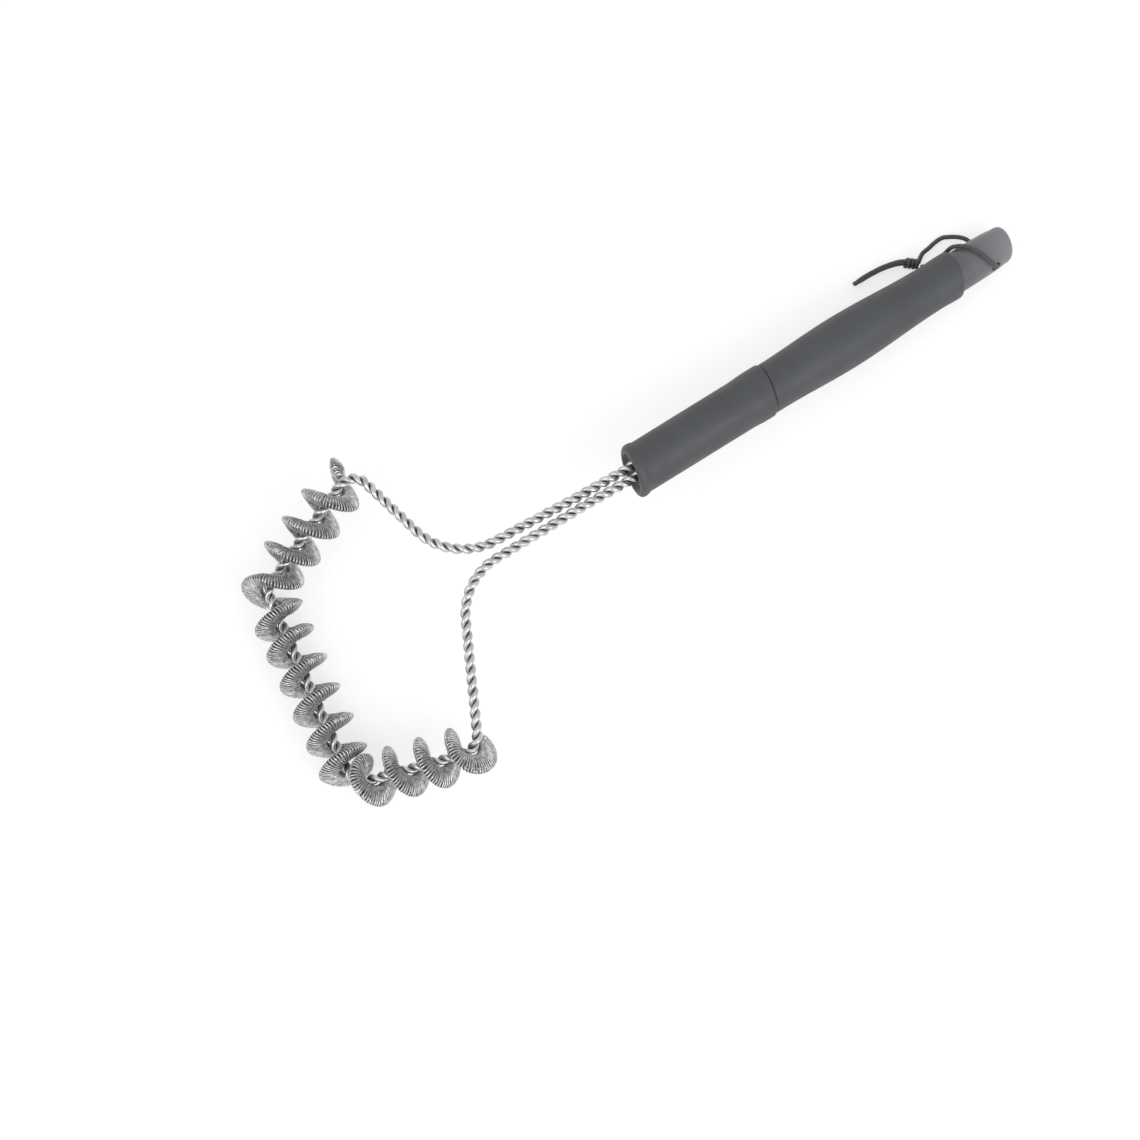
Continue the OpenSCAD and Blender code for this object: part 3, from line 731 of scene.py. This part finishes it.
def front_face():
    """The wire opening, the dish round it and the dish's rounded rim."""
    well = 26.0  # depth to which the opening's wall is drawn
    lip, floor_ring = slant_mouth(DISH_DEEP, 0.3), face_ring(DISH_DEEP, dish_r - 1.9)
    rings = [mouth_ring(well), slant_mouth(DISH_DEEP + 3), slant_mouth(DISH_DEEP + 0.35),
             slant_mouth(DISH_DEEP + 0.1, 0.08), lip]
    rings += [lip * (1 - t) + floor_ring * t for t in (0.33, 0.67, 1.0)]
    rim = ((DISH_DEEP - 0.12, -1.5), (DISH_DEEP - 0.5, -1.15), (DISH_DEEP - 1.2, -0.75),
           (0.5, -0.22), (0.16, -0.02), (0.02, 0.22), (0, 0.5))
    return rings + [face_ring(depth, dish_r + out) for depth, out in rim]


front = lathe("front_sleeve_skin", front_stations(), M_GRIP, hub=front_face())
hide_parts("front_sleeve")

swell_x = RING1 + (RING2 - RING1) * 0.4
waist_x = RING2 - 13
NECK_LEN, RISE_LEN, SLANT_LEN = 2, 8.8, 14


def grip_radius(x):
    """The neck, the swelling, the waist and the rise to the second rim."""
    if x < RING1 + NECK_LEN:
        return neck1_r
    if x < swell_x:
        return neck1_r + (grip_r - neck1_r) * ease((x - RING1 - NECK_LEN) / (swell_x - RING1 - NECK_LEN))
    if x < waist_x:
        return grip_r + (waist_r - grip_r) * ease((x - swell_x) / (waist_x - swell_x))
    return waist_r + (rim2_r - waist_r) * ease((x - waist_x) / RISE_LEN)


def grip_stations():
    """The soft edges at both ring lines and the swelling between them."""
    a, b = RING1 + GAP, RING2 - GAP
    st = [(a + SEAT, seat_r, 1), (a, seat_r, 1)]
    for g in range(90, -1, -10):
        st.append((a + SOFT_X - SOFT_X * sind(g), neck1_r - SOFT_R * (1 - cosd(g)), 1))
    for x in np.linspace(a + SOFT_X + 0.5, b - SOFT_X - 0.5, 70):
        w = max(0.0, 1 - (x - a) / SLANT_LEN) ** 1.5 + max(0.0, 1 - (b - x) / SLANT_LEN) ** 1.5
        st.append((x, grip_radius(x), w))
    for g in range(0, 91, 10):
        st.append((b - SOFT_X + SOFT_X * sind(g), rim2_r - SOFT_R * (1 - cosd(g)), 1))
    return st + [(b, seat_r, 1), (b - SEAT, seat_r, 1)]


grip = lathe("grip_sleeve_skin", grip_stations(), M_GRIP)
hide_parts("grip_sleeve")

end_r = cap_r - 0.85
CAP_X = [RING2 - 8, RING2 + 5, HANDLE - 18, HANDLE - 12, HANDLE - 9, HANDLE - TIP_R, HANDLE]
CAP_R = [cap_r, cap_r, cap_r - 0.1, cap_r - 0.3, cap_r - 0.5, end_r, end_r - 0.9]


def cap_stations():
    """A small edge at the ring line, the slim taper and the rounded end."""
    a, cap_seat, edge = RING2 + GAP, 7.4, 0.3
    st = [(a + SEAT, cap_seat, 1), (a, cap_seat, 1)]
    for g in (90, 60, 30, 0):
        st.append((a + edge - edge * sind(g), cap_r - edge * (1 - cosd(g)), 1))
    xs = np.linspace(a + 1, HANDLE - TIP_R, 34)
    # the taper's corners are smoothed by a mean of five nearby values
    rs = np.mean([np.interp(xs + o, CAP_X, CAP_R) for o in (-1.2, -0.6, 0, 0.6, 1.2)], axis=0)
    for x, r in zip(xs, rs):
        st.append((x, r, 1))
    for k in range(1, 19):
        u = k / 19
        st.append((HANDLE - TIP_R + TIP_R * sind(u * 90), end_r * (1 - u ** 3.2), 1))
    st.append((HANDLE, 0.05, 1))
    return st


cap = lathe("end_cap_skin", cap_stations(), M_CAP)
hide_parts("end_cap")


def drill(ob, rings, n):
    """Cut a tube of rings out of a piece."""
    me = bpy.data.meshes.new("bit")
    me.from_pydata([tuple(p) for p in place(np.concatenate(rings))], [], tube_faces(len(rings), n))
    bit = bpy.data.objects.new("bit", me)
    bpy.context.scene.collection.objects.link(bit)
    mod = ob.modifiers.new("hole", "BOOLEAN")
    mod.operation = "DIFFERENCE"
    mod.solver = "EXACT"
    mod.object = bit
    bpy.context.view_layer.update()
    cut = bpy.data.meshes.new_from_object(ob.evaluated_get(bpy.context.evaluated_depsgraph_get()))
    ob.modifiers.clear()
    ob.data = cut
    bpy.data.objects.remove(bit)
    cut.polygons.foreach_set("use_smooth", [True] * len(cut.polygons))


def hole_rings(n):
    """The cross hole for the cord, with a small rounded mouth at each side."""
    g, hole_r = circle(n), HOLE_D / 2
    rings = []
    for d, more in ((-14, 0.8), (-9.7, 0.5), (-9.1, 0.15), (-8.5, 0), (8.5, 0), (9.1, 0.15),
                    (9.7, 0.5), (14, 0.8)):
        r = hole_r + more
        z = -r * np.sin(g)
        rings.append(np.stack([hole_x + r * np.cos(g), d * cosd(HOLE_TURN) + z * sind(HOLE_TURN),
                               z * cosd(HOLE_TURN) - d * sind(HOLE_TURN)], -1))
    return rings


drill(cap, hole_rings(48), 48)

# inner pieces keep their CAD shape
for name, mat in (("wire_ferrule", M_PIN), ("cross_pin", M_PIN), ("handle_core", M_CORE)):
    NODES[name].data.materials.clear()
    NODES[name].data.materials.append(mat)

# sharp creases stay crisp under smooth shading
for ob in (front, grip, cap):
    ob.data.set_sharp_from_angle(angle=math.radians(50))

# ---------------------------------------------------------------- floor, light
def either(nt, a, b):
    """1 where either of two light path outputs is 1."""
    mx = nt.nodes.new("ShaderNodeMath")
    mx.operation = "MAXIMUM"
    link(nt, a, mx.inputs[0])
    link(nt, b, mx.inputs[1])
    return mx.outputs[0]


def white_floor():
    """A white ground that lights the brush from below but shows only faint shadows."""
    m, nt, b = new_mat("studio_white")
    b.inputs["Base Color"].default_value = (0.86, 0.86, 0.86, 1)
    b.inputs["Roughness"].default_value = 0.9
    b.inputs["Specular IOR Level"].default_value = 0.0
    path = nt.nodes.new("ShaderNodeLightPath")
    glow = nt.nodes.new("ShaderNodeEmission")
    glow.inputs["Strength"].default_value = 0.66
    seen = nt.nodes.new("ShaderNodeBsdfDiffuse")
    seen.inputs["Color"].default_value = (0.38, 0.38, 0.38, 1)
    add = nt.nodes.new("ShaderNodeAddShader")
    link(nt, seen.outputs["BSDF"], add.inputs[0])
    link(nt, glow.outputs["Emission"], add.inputs[1])
    mix = nt.nodes.new("ShaderNodeMixShader")
    drawn = either(nt, path.outputs["Is Camera Ray"], path.outputs["Is Glossy Ray"])
    link(nt, drawn, mix.inputs["Fac"])
    link(nt, b.outputs["BSDF"], mix.inputs[1])
    link(nt, add.outputs["Shader"], mix.inputs[2])
    link(nt, mix.outputs["Shader"], nt.nodes["Material Output"].inputs["Surface"])
    return m


FLOOR = 6  # half width of the ground, in metres
floor_me = bpy.data.meshes.new("floor")
corners = [(-FLOOR, -FLOOR, 0), (FLOOR, -FLOOR, 0), (FLOOR, FLOOR, 0), (-FLOOR, FLOOR, 0)]
floor_me.from_pydata(corners, [], [(0, 1, 2, 3)])
floor_me.materials.append(white_floor())
floor = bpy.data.objects.new("floor", floor_me)
bpy.context.scene.collection.objects.link(floor)

world = bpy.data.worlds.new("studio")
bpy.context.scene.world = world
world.use_nodes = True
sky = world.node_tree
light_sky = sky.nodes["Background"]
light_sky.inputs["Color"].default_value = (1, 1, 1, 1)
light_sky.inputs["Strength"].default_value = 0.8
seen_sky = sky.nodes.new("ShaderNodeBackground")
seen_sky.inputs["Color"].default_value = (1, 1, 1, 1)
seen_sky.inputs["Strength"].default_value = 1.0
rays = sky.nodes.new("ShaderNodeLightPath")
sky_mix = sky.nodes.new("ShaderNodeMixShader")
straight = either(sky, rays.outputs["Is Camera Ray"], rays.outputs["Is Transmission Ray"])
link(sky, straight, sky_mix.inputs["Fac"])
link(sky, light_sky.outputs["Background"], sky_mix.inputs[1])
link(sky, seen_sky.outputs["Background"], sky_mix.inputs[2])
link(sky, sky_mix.outputs["Shader"], sky.nodes["World Output"].inputs["Surface"])


def soft_box(name, at, size, power):
    """A square area light at a place, facing the origin."""
    ld = bpy.data.lights.new(name, "AREA")
    ld.shape = "SQUARE"
    ld.size = size
    ld.energy = power
    lo = bpy.data.objects.new(name, ld)
    bpy.context.scene.collection.objects.link(lo)
    facing = Vector(at).to_track_quat("Z", "Y").to_matrix().to_4x4()
    lo.matrix_world = Matrix.Translation(at) @ facing


soft_box("key", (0.3, -1.2, 1.2), 0.9, 9)
soft_box("fill", (-1.1, -0.1, 1.0), 0.8, 4)
bpy.context.scene.view_settings.view_transform = "Standard"
